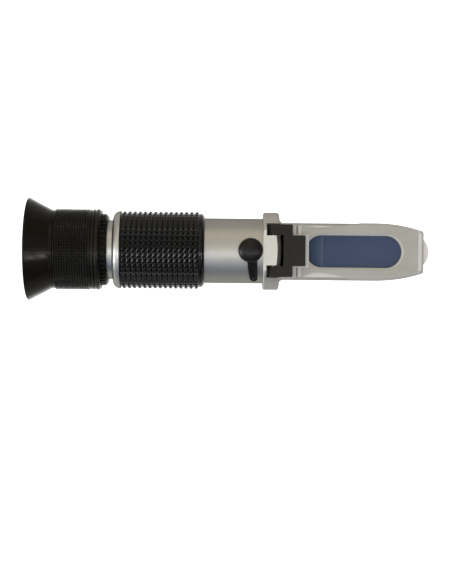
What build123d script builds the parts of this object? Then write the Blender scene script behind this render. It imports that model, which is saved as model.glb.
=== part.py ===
"""Hand-held refractometer with a hinged daylight plate, in millimetres.

The optical axis is +X, from the eyecup's rim at X = 0 to the nose. +Z is up, out of the prism's face.
Each function below makes one piece, and the table at the end writes each one to parts/NODE.step.
"""
from build123d import *
from math import cos, pi, radians, sin, sqrt, tan
import os

# ---- Driving dimensions -------------------------------------------------------------------------

# Stations along the optical axis
RIM_X = 0.0            # the eyecup's flat rim
CUP_END_X = 10.8       # eyecup meets knurled sleeve
SLEEVE_END_X = 29.1    # knurled sleeve ends, ribbed skirt begins
SKIRT_END_X = 31.8     # ribbed skirt ends, bare neck shows
COLLAR_X = 33.8        # rear collar begins
GRIP_X = 36.7          # rubber grip begins
GRIP_END_X = 69.7
PLUG_X = 87.8          # calibration screw and its plug
FLANGE_X = 92.7        # prism head's flange
FLANGE_END_X = 99.1
HEAD_END_X = 154.0     # tip of the metal trough
PLATE_X = 101.3        # hinge end of the daylight plate
PLATE_END_X = 155.8    # nose of the daylight plate

# Radii about the optical axis
CUP_R = 20.6
CUP_NECK_R = 15.5
SLEEVE_R = 15.9
SKIRT_R = 14.1
BODY_R = 14.6          # focus body under the sleeve
NECK_R = 11.65
NECK_BORE_R = 9.6
COLLAR_R = 15.3
BARREL_R = 12.8
BARREL_BORE_R = 11.7
HEAD_R = 11.3
LENS_R = 8.2
TUBE_BORE_R = 8.3

# Heights above the optical axis
HEAD_TOP_Z = 5.0       # flat top of the metal trough
PRISM_TOP_Z = 5.9      # measuring face
PLATE_SKIRT_Z = 5.3    # lower edge of the daylight plate's skirt
PLATE_UNDER_Z = 6.1    # the plate's face over the prism
PLATE_TOP_Z = 9.0
KNUCKLE_TOP_Z = 13.1   # also the flange's flat top, just above the barrel

# Hinge of the daylight plate
PIN_X, PIN_Z = 96.6, 9.6
PIN_R = 0.95
ARM_R = 2.2            # rounded end of each bracket arm
KNUCKLE_HALF = 5.8
KNUCKLE_X = 99.8       # foot of the knuckle's sloping front
ARM_SLOT_X = 93.9      # rear end of the slots for the bracket's arms
ARM_IN, ARM_OUT = 6.15, 10.25
TONGUE_HALF = 5.95

RUN = 0.05             # radial clearance of a running fit
RIB_COUNT = 42


# ---- Helpers ------------------------------------------------------------------------------------

def in_xz(u, v):
    """Places an outline's (along the axis, up) point in the plane Y = 0."""
    return (u, 0, v)


def in_xy(u, v):
    """Places an outline's (along the axis, across) point in the plane Z = 0."""
    return (u, v, 0)


def outline(corners, place):
    """A face with straight sides between corners (u, v, radius), each corner rounded by its radius."""
    rounded = []
    count = len(corners)
    for i, (u, v, radius) in enumerate(corners):
        here = Vector(u, v)
        if radius == 0:
            rounded.append((here, None, here))
            continue
        back = (Vector(*corners[i - 1][:2]) - here).normalized()
        on = (Vector(*corners[(i + 1) % count][:2]) - here).normalized()
        half = radians(back.get_angle(on)) / 2
        centre = here + (back + on).normalized() * (radius / sin(half))
        reach = radius / tan(half)
        middle = centre + (here - centre).normalized() * radius
        rounded.append((here + back * reach, middle, here + on * reach))
    edges = []
    for i, (start, middle, end) in enumerate(rounded):
        following = rounded[(i + 1) % count][0]
        if middle is not None:
            edges.append(ThreePointArc(*(place(p.X, p.Y) for p in (start, middle, end))))
        if (following - end).length > 1e-6:
            edges.append(Line(place(end.X, end.Y), place(following.X, following.Y)))
    return make_face(edges)


def turned(corners):
    """A body of revolution about the optical axis, from (x, radius, corner rounding) corners."""
    return revolve(outline(corners, in_xz), Axis.X)


def tube(start_x, end_x, outer_r, inner_r=0.0):
    """A plain tube or disc on the optical axis."""
    length = end_x - start_x
    place = Pos((start_x + end_x) / 2, 0, 0)
    body = place * Cylinder(outer_r, length, rotation=(0, 90, 0))
    if inner_r:
        body -= place * Cylinder(inner_r, length, rotation=(0, 90, 0))
    return body


def post(x, y, low_z, high_z, r):
    """A cylinder standing along Z."""
    return Pos(x, y, (low_z + high_z) / 2) * Cylinder(r, high_z - low_z)


def cross_rod(x, z, half_length, r):
    """A cylinder lying along Y, centred on Y = 0."""
    return Pos(x, 0, z) * Cylinder(r, 2 * half_length, rotation=(90, 0, 0))


def block(x_range, y_range, z_range):
    """A box between two values on each axis."""
    sizes = [high - low for low, high in (x_range, y_range, z_range)]
    middle = [(low + high) / 2 for low, high in (x_range, y_range, z_range)]
    return Pos(*middle) * Box(*sizes)


def both_sides(x_range, y_range, z_range):
    """Two boxes, mirrored about the plane Y = 0."""
    low, high = y_range
    return block(x_range, (low, high), z_range) + block(x_range, (-high, -low), z_range)


def spanner_notches(end_x, depth, radii, half_width=0.5):
    """Two notches across the end face of a threaded ring, between two radii."""
    return both_sides((end_x - depth, end_x + 0.1), radii, (-half_width, half_width))


def slab(face, low_z, high_z):
    """Extrudes a face drawn in the plane Z = 0 between two heights."""
    return Pos(0, 0, low_z) * extrude(face, high_z - low_z, dir=(0, 0, 1))


def side_slab(face, half_width):
    """Extrudes a face drawn in the plane Y = 0 to both sides of it."""
    return extrude(face, half_width, dir=(0, 1, 0), both=True)


def lens(front_x, back_x, front_bulge, back_bulge, r):
    """A lens whose rim runs from front_x to back_x, with spherical faces that bulge outwards."""
    def face_arc(rim_x, bulge):
        vertex = rim_x + bulge
        # the point at half the rim's radius, on the sphere through rim and vertex
        ball = (r * r + bulge * bulge) / (2 * abs(bulge))
        sag = ball - sqrt(ball * ball - r * r / 4)
        middle = vertex - sag * (1 if bulge > 0 else -1)
        return vertex, ThreePointArc((vertex, 0, 0), (middle, 0, r / 2), (rim_x, 0, r))
    left, left_arc = face_arc(front_x, -front_bulge)
    right, right_arc = face_arc(back_x, back_bulge)
    rim = Line((front_x, 0, r), (back_x, 0, r))
    axis = Line((left, 0, 0), (right, 0, 0))
    return revolve(make_face([left_arc, rim, right_arc, axis]), Axis.X)


# ---- Eyepiece: eyecup, focus ring and lens carrier ----------------------------------------------

CAP_LIP_X, CAP_GROOVE_X, CAP_END_X = 7.8, 8.8, 12.5
CAP_R, CAP_LIP_R, CAP_BORE_R = 12.4, 13.0, 9.0
CHAMBER_END_X = 14.5   # end of the chamber that holds the lens carrier's flange
CARRIER_X, CARRIER_END_X = 12.8, 29.8
CARRIER_FLANGE_X = 14.3
NECK_X, NECK_END_X = 17.3, 44.6
KEY_X, KEY_R = 25.8, 0.8
FOCUS_BACK, FOCUS_FORWARD = 2.5, 1.84
# Rims of the two eyepiece lenses, then the ring that clamps them
EYE_LENS_X, EYE_LENS_END_X = 14.2, 16.4
FIELD_LENS_X, FIELD_LENS_END_X = 21.2, 23.2
SPACER_X, SPACER_STEP_X, SPACER_END_X = 16.6, 18.0, 20.87
RETAINER_X, RETAINER_END_X = 23.35, 26.0


def eyecup():
    """Flared rubber cup, stretched over the eyepiece cap's lip."""
    mouth_r, flare_end_x, floor_x, floor_r = 19.3, 9.4, 7.6, 13.9
    return turned([
        (RIM_X, mouth_r, 0.25), (RIM_X, CUP_R, 0.5), (flare_end_x, CUP_NECK_R + 0.1, 1.2),
        (flare_end_x + 0.6, CUP_NECK_R, 0.2), (CUP_END_X, CUP_NECK_R, 0.15), (CUP_END_X, CAP_R, 0),
        (CAP_GROOVE_X, CAP_R, 0), (CAP_GROOVE_X, CAP_LIP_R + 0.5, 0), (floor_x, floor_r, 0.8),
    ])


def eyepiece_cap():
    """Black ring screwed into the focus body; its lip holds the eyecup."""
    return turned([
        (CAP_LIP_X, CAP_BORE_R + 0.9, 0), (CAP_LIP_X, CAP_LIP_R, 0.3), (CAP_GROOVE_X, CAP_LIP_R, 0.2),
        (CAP_GROOVE_X, CAP_R, 0), (CAP_END_X, CAP_R, 0), (CAP_END_X, CAP_BORE_R, 0),
        (CAP_GROOVE_X + 0.4, CAP_BORE_R, 0.2),
    ])


def focus_body():
    """Rotating eyepiece body with the ribbed skirt; it screws along the neck to focus."""
    core = tube(CUP_END_X, SLEEVE_END_X, BODY_R)
    pitch = 2 * pi / RIB_COUNT
    rib_share, flank_share, root_r = 0.38, 0.12, SKIRT_R - 0.65
    steps = [(0, SKIRT_R), (rib_share, SKIRT_R), (rib_share + flank_share, root_r), (1 - flank_share, root_r)]
    rim = []
    for i in range(RIB_COUNT):
        for share, r in steps:
            angle = (i + share) * pitch
            rim.append((SLEEVE_END_X, r * cos(angle), r * sin(angle)))
    skirt = extrude(make_face(Polyline(*rim, close=True)), SKIRT_END_X - SLEEVE_END_X, dir=(1, 0, 0))
    edge_cone = turned([
        (SLEEVE_END_X, 0, 0), (SLEEVE_END_X, SKIRT_R + 1, 0), (SKIRT_END_X - 1.0, SKIRT_R + 0.1, 0),
        (SKIRT_END_X, SKIRT_R - 0.9, 0), (SKIRT_END_X, 0, 0),
    ])
    bore = tube(CHAMBER_END_X, SKIRT_END_X, NECK_R + 0.1) + tube(CUP_END_X, CHAMBER_END_X, CAP_R)
    return core + (skirt & edge_cone) - bore


def knurled_sleeve():
    """Knurled rubber band on the focus body, with two grooves and a raised edge at its front end."""
    groove_r, edge_r = SLEEVE_R - 0.6, SLEEVE_R + 0.1
    first_x, second_x, edge_end_x = 24.9, 26.8, 28.5   # where each groove starts, and the raised edge ends
    flank = 0.2
    profile = [(CUP_END_X, BODY_R, 0), (CUP_END_X, SLEEVE_R, 0.35)]
    for groove_x, floor, next_r in ((first_x, 0.4, SLEEVE_R), (second_x, 0.3, edge_r)):
        profile += [
            (groove_x, SLEEVE_R, 0), (groove_x + flank, groove_r, 0), (groove_x + flank + floor, groove_r, 0),
            (groove_x + floor + 2 * flank, next_r, 0),
        ]
    profile += [(edge_end_x, edge_r, 0.3), (SLEEVE_END_X, edge_r - 0.7, 0), (SLEEVE_END_X, BODY_R, 0)]
    return turned(profile)


def eyepiece_tube():
    """Lens carrier: slides in the neck without turning, held back by a key in its slot."""
    flange_r, mouth_r, shoulder_x = CAP_R - 0.2, 7.6, 14.0
    body = turned([
        (CARRIER_X, mouth_r, 0), (CARRIER_X, flange_r, 0.2), (CARRIER_FLANGE_X, flange_r, 0.2),
        (CARRIER_FLANGE_X, NECK_BORE_R - RUN, 0), (CARRIER_END_X, NECK_BORE_R - RUN, 0.3),
        (CARRIER_END_X, TUBE_BORE_R, 0), (shoulder_x, TUBE_BORE_R, 0), (shoulder_x, mouth_r, 0),
    ])
    # the body moves, so the slot reaches the travel to each side of the fixed key
    play = KEY_R + 0.15
    slot_low, slot_high = KEY_X - FOCUS_FORWARD - play, KEY_X + FOCUS_BACK + play
    return body - block((slot_low, slot_high), (-play, play), (-NECK_BORE_R, -TUBE_BORE_R + 0.4))


def eye_lens():
    """Lens nearest the eye, seated on the carrier's shoulder."""
    return lens(EYE_LENS_X, EYE_LENS_END_X, 1.2, 1.4, LENS_R)


def lens_spacer():
    """Stepped ring that keeps the two lenses apart."""
    wide_r, narrow_r = 7.7, 6.9
    return tube(SPACER_X, SPACER_STEP_X, LENS_R, wide_r) + tube(SPACER_STEP_X, SPACER_END_X, LENS_R, narrow_r)


def field_lens():
    """Second lens of the eyepiece, nearest the scale."""
    return lens(FIELD_LENS_X, FIELD_LENS_END_X, 1.0, 1.3, LENS_R)


def lens_retainer():
    """Threaded ring that clamps the lenses, with two spanner notches."""
    hole_r, relief_r, relief_end_x = 7.1, 7.9, 24.4   # the relief clears the lens's bulge
    ring = tube(RETAINER_X, RETAINER_END_X, TUBE_BORE_R, hole_r) - tube(RETAINER_X, relief_end_x, relief_r)
    return ring - spanner_notches(RETAINER_END_X, 0.8, (hole_r - 0.3, TUBE_BORE_R + 0.3))


def guide_key():
    """Pin in the neck's wall that keeps the lens carrier from turning."""
    return post(KEY_X, 0, -NECK_R + RUN, -TUBE_BORE_R - 0.25, KEY_R)


# ---- Barrel -------------------------------------------------------------------------------------

SEAT_X = 94.1          # the barrel's front end, inside the flange's socket
PLUG_HOLE_R = 3.0
SPOT_R, SPOT_Z = 4.85, 12.2   # flat seat under the plug's dome
RETICLE_X, RETICLE_END_X, RETICLE_R = 48.2, 49.8, 9.05
RETICLE_BORE_R = 9.1
CELL_RING_END_X = 52.6   # front end of the ring that holds the scale glass
BAFFLE_X, BAFFLE_STOP_X, BAFFLE_END_X = 64.0, 69.0, 70.0


def rear_neck():
    """Bare metal neck that carries the focus ring, screwed into the barrel."""
    body = turned([
        (NECK_X, NECK_BORE_R, 0), (NECK_X, NECK_R, 0.3), (NECK_END_X, NECK_R, 0),
        (NECK_END_X, NECK_BORE_R, 0),
    ])
    return body - post(KEY_X, 0, -NECK_R - 1, -NECK_BORE_R + 1, KEY_R)


def rear_collar():
    """Round-shouldered ring that closes the rear end of the grip."""
    return turned([
        (COLLAR_X, NECK_R, 0), (COLLAR_X, COLLAR_R, 2.6), (GRIP_X, COLLAR_R, 0), (GRIP_X, NECK_R, 0),
    ])


def barrel():
    """Main tube. It is open at both ends, with a spot-faced hole over the calibration screw."""
    body = tube(GRIP_X, SEAT_X, BARREL_R, BARREL_BORE_R)
    above = BARREL_R + 1
    return body - post(PLUG_X, 0, 6, above, PLUG_HOLE_R) - post(PLUG_X, 0, SPOT_Z, above, SPOT_R)


def grip_sleeve():
    """Rubber grip over the barrel, rounded at the front."""
    round_x, round_end_x = GRIP_END_X - 3.5, GRIP_END_X - 0.5
    return turned([
        (GRIP_X, BARREL_R, 0), (GRIP_X, COLLAR_R, 0.15), (round_x, COLLAR_R, 0.8),
        (round_end_x, COLLAR_R - 1.0, 1.4), (GRIP_END_X, BARREL_R + 0.4, 0.3), (GRIP_END_X, BARREL_R, 0),
    ])


def reticle_cell():
    """Ring in the barrel that seats the scale glass."""
    view_r = 8.0
    return turned([
        (NECK_END_X, view_r, 0), (NECK_END_X, BARREL_BORE_R, 0), (CELL_RING_END_X, BARREL_BORE_R, 0),
        (CELL_RING_END_X, RETICLE_BORE_R, 0), (RETICLE_X, RETICLE_BORE_R, 0), (RETICLE_X, view_r, 0),
    ])


def reticle():
    """Glass disc that carries the scale."""
    return tube(RETICLE_X, RETICLE_END_X, RETICLE_R)


def reticle_retainer():
    """Threaded ring that clamps the scale glass."""
    hole_r, end_x = 7.9, RETICLE_END_X + 2.0
    ring = tube(RETICLE_END_X, end_x, RETICLE_BORE_R, hole_r)
    return ring - spanner_notches(end_x, 0.8, (hole_r - 0.4, RETICLE_BORE_R + 0.4))


def light_baffle():
    """Blackened stop ring that keeps stray light off the scale."""
    wall_r, stop_r = 10.4, 5.5
    return turned([
        (BAFFLE_X, wall_r, 0), (BAFFLE_X, BARREL_BORE_R, 0), (BAFFLE_END_X, BARREL_BORE_R, 0),
        (BAFFLE_END_X, stop_r, 0), (BAFFLE_STOP_X, stop_r, 0), (BAFFLE_STOP_X, wall_r, 0),
    ])


# ---- Objective and its calibration --------------------------------------------------------------

CELL_X, CELL_END_X = 85.3, 90.3
CELL_HALF, CELL_HALF_TALL = 5.9, 6.0
BUSH_R, BUSH_LOW_Z, BUSH_TOP_Z = 3.6, 6.9, 10.8
SCREW_HEAD_R, SCREW_SHANK_R = 2.25, 0.95
SCREW_HEAD_LOW_Z, SCREW_TOP_Z = 7.6, 9.0
SHANK_END_Z = 4.75
OBJECTIVE_X, OBJECTIVE_END_X = 87.8, 88.6
OBJECTIVE_BORE_R, OBJECTIVE_STOP_R, OBJECTIVE_BORE_DEPTH = 4.2, 3.4, 3.4
STRIP_X, STRIP_HALF, STRIP_LOW_Z, STRIP_THICK, STRIP_FOOT_TOP_Z = 76.6, 2.0, -5.6, 0.4, -3.6
SPRING_R, SPRING_WIRE_R, SPRING_LOW_Z, SPRING_TURNS = 1.2, 0.17, -10.2, 6
CALIBRATION_TRAVEL = 0.4


def objective_carrier():
    """Fixed ring with a square window, in which the objective cell slides up and down."""
    window_half = CELL_HALF + 0.1
    window_heights = (-CELL_HALF_TALL - 0.7, CELL_HALF_TALL + 0.6)
    body = tube(CELL_X - 0.1, CELL_END_X + 0.1, BARREL_BORE_R)
    body -= block((CELL_X - 1, CELL_END_X + 1), (-window_half, window_half), window_heights)
    body -= post(PLUG_X, 0, BUSH_LOW_Z, 13, BUSH_R)
    body -= post(PLUG_X, 0, 6, 8, SCREW_SHANK_R + 0.2)
    return body - post(PLUG_X, 0, SPRING_LOW_Z - 0.2, -6, SPRING_R + 0.45)


def calibration_bush():
    """Collar under the barrel's hole that keeps the calibration screw captive."""
    body = post(PLUG_X, 0, BUSH_LOW_Z, BUSH_TOP_Z, BUSH_R)
    well_z = SCREW_TOP_Z + 0.3   # floor of the well that the plug's stem reaches into
    body -= post(PLUG_X, 0, well_z, BUSH_TOP_Z, PLUG_HOLE_R)
    body -= post(PLUG_X, 0, SCREW_HEAD_LOW_Z - 0.1, well_z, SCREW_HEAD_R + RUN)
    body -= post(PLUG_X, 0, BUSH_LOW_Z, SCREW_HEAD_LOW_Z, SCREW_SHANK_R + RUN)
    return body & tube(PLUG_X - BUSH_R, PLUG_X + BUSH_R, BARREL_BORE_R)


def calibration_screw():
    """Slotted captive screw that raises and lowers the objective cell."""
    body = post(PLUG_X, 0, SCREW_HEAD_LOW_Z, SCREW_TOP_Z, SCREW_HEAD_R)
    body += post(PLUG_X, 0, SHANK_END_Z, SCREW_HEAD_LOW_Z, SCREW_SHANK_R)
    return body - block((PLUG_X - 3, PLUG_X + 3), (-0.25, 0.25), (SCREW_TOP_Z - 0.7, SCREW_TOP_Z + 1))


def objective_cell():
    """Sliding cell that holds the objective lens under the calibration screw."""
    body = block((CELL_X, CELL_END_X), (-CELL_HALF, CELL_HALF), (-CELL_HALF_TALL, CELL_HALF_TALL))
    body = fillet(body.edges().filter_by(Axis.X), 0.8)
    body -= tube(CELL_X - 1, CELL_END_X - OBJECTIVE_BORE_DEPTH, OBJECTIVE_STOP_R)
    body -= tube(CELL_END_X - OBJECTIVE_BORE_DEPTH, CELL_END_X + 1, OBJECTIVE_BORE_R)
    # the hole reaches past the shank's end, so the cell can rise by its whole travel
    return body - post(PLUG_X, 0, SHANK_END_Z - CALIBRATION_TRAVEL - 0.1, 7, SCREW_SHANK_R + RUN)


def objective_lens():
    """Small lens that throws the prism's light on the scale."""
    return lens(OBJECTIVE_X, OBJECTIVE_END_X, 0.5, 0.5, OBJECTIVE_BORE_R - RUN)


def objective_retainer():
    """Threaded ring that clamps the objective lens."""
    hole_r, relief_r, end_x = 3.5, 4.0, CELL_END_X - 0.3
    ring = tube(OBJECTIVE_END_X + 0.05, end_x, OBJECTIVE_BORE_R, hole_r)
    ring -= tube(OBJECTIVE_END_X, OBJECTIVE_END_X + 0.55, relief_r)
    return ring - spanner_notches(end_x, 0.4, (hole_r - 0.3, OBJECTIVE_BORE_R + 0.4), 0.4)


def bimetal_strip():
    """Two-metal strip on the objective cell that corrects for temperature."""
    across = (-STRIP_HALF, STRIP_HALF)
    strip = block((STRIP_X, CELL_X - 0.5), across, (STRIP_LOW_Z, STRIP_LOW_Z + STRIP_THICK))
    foot = block((CELL_X - 0.5, CELL_X), across, (STRIP_LOW_Z, STRIP_FOOT_TOP_Z))
    return strip + foot


def bimetal_screw():
    """Small screw that clamps the bimetal strip's foot to the cell's rear face."""
    head_z, head_r = -4.4, 0.7
    head = Pos(0, 0, head_z) * tube(CELL_X - 1.1, CELL_X - 0.5, head_r)
    return head - block((CELL_X - 1.2, CELL_X - 0.9), (-1, 1), (head_z - 0.1, head_z + 0.1))


def return_spring():
    """Compression spring that holds the cell up against the calibration screw's thread."""
    high = -CELL_HALF_TALL - SPRING_WIRE_R - 0.01
    low = SPRING_LOW_Z + SPRING_WIRE_R
    path = Helix((high - low) / SPRING_TURNS, high - low, SPRING_R)
    wire = Plane(origin=path @ 0, z_dir=path % 0) * Circle(SPRING_WIRE_R)
    return Pos(PLUG_X, 0, low) * sweep(wire, path)


# ---- Calibration plug ---------------------------------------------------------------------------

DOME_R, DOME_EDGE_Z, DOME_RISE = 4.7, 12.7, 3.2
TAB_THICK, TAB_GAP, TAB_TURN_DEG = 1.1, 0.45, 57
TAB_LEFT, TAB_RIGHT, TAB_LEAN = -1.3, 2.5, 0.9   # its edges from the dome's centre, and how far its end leans


def calibration_plug():
    """Rubber plug over the calibration screw: a dome, a stem in the barrel's hole and a pull tab."""
    ball = (DOME_R ** 2 + DOME_RISE ** 2) / (2 * DOME_RISE)
    top = DOME_EDGE_Z + DOME_RISE
    dome = (Pos(PLUG_X, 0, top - ball) * Sphere(ball)) & post(PLUG_X, 0, 11, 20, DOME_R)
    # it rests on the flat seat and, beyond that, on the barrel's round side
    rest = tube(PLUG_X - 8, PLUG_X + 8, BARREL_R + 0.03) & block((80, 96), (-9, 9), (0, SPOT_Z + 0.02))
    dome -= rest
    stem_low_z, hollow_top_z, hollow_r = 9.5, 11.2, 1.9
    stem = post(PLUG_X, 0, stem_low_z, DOME_EDGE_Z + 0.7, PLUG_HOLE_R - RUN)
    stem -= post(PLUG_X, 0, stem_low_z - 0.1, hollow_top_z, hollow_r)
    # the tab follows the barrel's side, then ends in a half round
    inner_r = BARREL_R + TAB_GAP
    ring = tube(PLUG_X - 3, PLUG_X + 6, inner_r + TAB_THICK, inner_r)
    end_y = -sin(radians(TAB_TURN_DEG)) * (inner_r + TAB_THICK)
    left, right = PLUG_X + TAB_LEFT, PLUG_X + TAB_RIGHT
    tongue = outline([
        (left, -2.5, 0), (right, -2.5, 0), (right + TAB_LEAN / 2, end_y, 1.3), (left + TAB_LEAN, end_y, 1.3),
    ], in_xy)
    tab = ring & slab(tongue, 2, 16)
    return dome + stem + tab


# ---- Prism head ---------------------------------------------------------------------------------

SPIGOT_X = 91.6        # the head's spigot enters the barrel this far
PRISM_X, PRISM_END_X, PRISM_HALF = 107.7, 150.6, 7.4
PRISM_BEVEL_X = 115.9  # rear end of the measuring face
PRISM_LOW_X, PRISM_LOW_Z = 116.0, -8.2   # where the bottom face meets the slanting mirror face
PRISM_REAR_Z, PRISM_NOSE_Z = 2.5, 3.5    # top edge of the rear face, bottom edge of the nose face
GASKET, GASKET_LOW_Z = 0.6, 3.8
LIGHT_PATH_R = 6.6
SEAL_X, SEAL_END_X, SEAL_IN_R = 92.3, 93.1, 10.9
NOSE_ARC_X = 137.0     # the plan outline starts to narrow here
TROUGH_END_HALF = 8.6


def plan(start_x, end_x, half, end_half, corner=0.0):
    """Plan outline of plate and trough: parallel sides, then tangent arcs in to the nose."""
    run, drop = end_x - NOSE_ARC_X, half - end_half
    arc_r = (run ** 2 + drop ** 2) / (2 * drop)
    share = 0.5
    middle_x = NOSE_ARC_X + run * share
    middle_y = half - (arc_r - sqrt(arc_r ** 2 - (run * share) ** 2))
    edges = []
    for side in (1, -1):
        edges.append(Line((start_x, side * half, 0), (NOSE_ARC_X, side * half, 0)))
        edges.append(ThreePointArc(
            (NOSE_ARC_X, side * half, 0), (middle_x, side * middle_y, 0), (end_x, side * end_half, 0)))
    edges.append(Line((start_x, -half, 0), (start_x, half, 0)))
    edges.append(Line((end_x, -end_half, 0), (end_x, end_half, 0)))
    face = make_face(edges)
    if corner:
        face = fillet(face.vertices().group_by(Axis.X)[-1], corner)
    return face


def prism_profile(grow=0.0):
    """Side view of the prism: measuring face on top, slanting mirror face below."""
    return outline([
        (PRISM_X - grow, PRISM_REAR_Z, 0), (PRISM_BEVEL_X, PRISM_TOP_Z, 0),
        (PRISM_END_X + grow, PRISM_TOP_Z, 0), (PRISM_END_X + grow, PRISM_NOSE_Z - grow, 0),
        (PRISM_LOW_X, PRISM_LOW_Z - grow, 0), (PRISM_X - grow, PRISM_LOW_Z - grow, 0),
    ], in_xz)


def main_prism():
    """Measuring prism."""
    return side_slab(prism_profile(), PRISM_HALF)


def gasket_seat(top_z):
    """Rectangle round the prism, from the gasket's underside up."""
    return block(
        (PRISM_X - GASKET, PRISM_END_X + GASKET), (-PRISM_HALF - GASKET, PRISM_HALF + GASKET),
        (GASKET_LOW_Z, top_z))


def prism_gasket():
    """Black sealing frame round the prism's top, level with the trough."""
    over_bevel = block((PRISM_X, PRISM_BEVEL_X - 0.9), (-PRISM_HALF, PRISM_HALF), (3.0, 6.0))
    return gasket_seat(HEAD_TOP_Z) - side_slab(prism_profile(), PRISM_HALF) - over_bevel


def prism_head():
    """Flange with its spigot, hinge knuckle and tapered trough, machined from one piece."""
    root_r, root_end_x = HEAD_R - 0.05, FLANGE_END_X + 2.3
    flange = turned([
        (FLANGE_X, 0, 0), (FLANGE_X, COLLAR_R, 0.8), (FLANGE_END_X, COLLAR_R, 1.1),
        (FLANGE_END_X, root_r, 2.0), (root_end_x, root_r, 0), (root_end_x, 0, 0),
    ])
    knuckle = block((FLANGE_END_X - 1, KNUCKLE_X), (-KNUCKLE_HALF, KNUCKLE_HALF), (0, KNUCKLE_TOP_Z))
    trough = tube(FLANGE_END_X - 1, HEAD_END_X, HEAD_R)
    trough &= slab(plan(FLANGE_END_X - 1, HEAD_END_X, HEAD_R, TROUGH_END_HALF, 2.5), -20, 20)
    # from the flange the underside runs almost level, then rises steadily to the nose
    rise_x, rise_z, nose_z = 117.0, -11.35, 0.4
    underside = outline([
        (FLANGE_END_X - 2, -14, 0), (rise_x, rise_z, 9.0), (HEAD_END_X + 1, nose_z, 0),
        (HEAD_END_X + 1, -14, 0),
    ], in_xz)
    trough -= side_slab(underside, 15)
    body = flange + trough
    # everything ahead of the flange is milled down to the trough's flat top, apart from the knuckle
    body -= block((FLANGE_END_X - 0.02, HEAD_END_X + 2), (-20, 20), (HEAD_TOP_Z, 20))
    body += knuckle
    # the flange's top is milled flat, then cut away on both sides of the knuckle for the bracket's arms
    body -= block((FLANGE_X - 1, FLANGE_END_X + 1), (-20, 20), (KNUCKLE_TOP_Z, 20))
    body -= both_sides(
        (ARM_SLOT_X, FLANGE_END_X + 3), (KNUCKLE_HALF, ARM_OUT + 0.35), (PIN_Z - ARM_R - 0.35, 20))
    body -= knuckle_front()
    # socket and spigot for the barrel, with the seal's groove
    body -= tube(FLANGE_X - 1, SEAT_X, BARREL_R)
    body += tube(SPIGOT_X, SEAT_X, BARREL_BORE_R, 8.8) - tube(SEAL_X, SEAL_END_X, BARREL_BORE_R, SEAL_IN_R)
    # light path, prism pocket and pin hole
    pocket = 0.2   # room left round the prism
    body -= tube(SEAT_X - 1, PRISM_X + 1, LIGHT_PATH_R)
    body -= side_slab(prism_profile(pocket), PRISM_HALF + pocket)
    body -= gasket_seat(8)
    body -= block((PRISM_X, PRISM_LOW_X), (-PRISM_HALF - pocket, PRISM_HALF + pocket), (2.0, 8))
    return body - cross_rod(PIN_X, PIN_Z, KNUCKLE_HALF + 1, PIN_R)


def knuckle_front():
    """What is cut away to bow the knuckle's front in plan and to slope it outwards as it goes down."""
    bow_r, slope_z, slope_run = 38.0, 10.0, 1.6
    lip = block((PIN_X, KNUCKLE_X + 1), (-KNUCKLE_HALF - 0.1, KNUCKLE_HALF + 0.1), (HEAD_TOP_Z, 16))
    centre_x = KNUCKLE_X - bow_r
    height = KNUCKLE_TOP_Z - slope_z
    lower = post(centre_x, 0, 0, slope_z, bow_r)
    upper = Pos(centre_x, 0, slope_z + height / 2) * Cone(bow_r, bow_r - slope_run, height)
    return lip - lower - upper


def head_seal():
    """Sealing ring in the spigot's groove, pressed against the barrel's bore."""
    return tube(SEAL_X, SEAL_END_X, BARREL_BORE_R, SEAL_IN_R)


def hinge_pin():
    return cross_rod(PIN_X, PIN_Z, ARM_OUT - 0.25, PIN_R)


# ---- Daylight plate and its hinge ---------------------------------------------------------------

BAR_X, BAR_END_X = 100.6, 104.1   # the bracket's crossbar
TONGUE_END_X = 109.1
BRACKET_TOP_Z = PIN_Z + ARM_R
WINDOW_X, WINDOW_END_X, WINDOW_HALF, WINDOW_CORNER = 109.4, 146.9, 6.3, 6.2
WINDOW_DEPTH, WINDOW_SLOPE_DEG = 0.9, 38
EAR_HALF = 10.3        # half-width of the plate beside the bracket
PLATE_END_HALF = 8.2
HOLLOW_HALF, HOLLOW_END_X = 7.75, 152.4
# Half outline of the scallop beside the prism, as (along the axis, half-width)
SCALLOP = [(110.6, 9.1), (114.2, 8.4), (119.8, 9.0), (125.5, 10.2), (132.0, 11.4)]
EAR_END_X = 108.2
LIP_X, LIP_RISE = 153.1, 0.5
TAB_CHORD_HALF, TAB_REACH = 4.7, 1.8


def hinge_bracket():
    """Black T-shaped bracket: two arms round the pin, a crossbar and a tongue on the plate."""
    corner = 0.5
    tee = outline([
        (BAR_X, -ARM_OUT, 0), (BAR_END_X, -ARM_OUT, corner), (BAR_END_X, -TONGUE_HALF, 0),
        (TONGUE_END_X, -TONGUE_HALF, corner), (TONGUE_END_X, TONGUE_HALF, corner),
        (BAR_END_X, TONGUE_HALF, 0), (BAR_END_X, ARM_OUT, corner), (BAR_X, ARM_OUT, 0),
    ], in_xy)
    arm_face = outline([
        (PIN_X - ARM_R, PIN_Z - ARM_R, ARM_R - 0.01), (PIN_X - ARM_R, BRACKET_TOP_Z, ARM_R - 0.01),
        (BAR_X + 0.3, BRACKET_TOP_Z, 0), (BAR_X + 0.3, PIN_Z - ARM_R, 0.4),
    ], in_xz)
    arms = side_slab(arm_face, ARM_OUT) - side_slab(arm_face, ARM_IN)
    body = slab(tee, PLATE_TOP_Z, BRACKET_TOP_Z) + arms
    return body - cross_rod(PIN_X, PIN_Z, 12, PIN_R + RUN)


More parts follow.
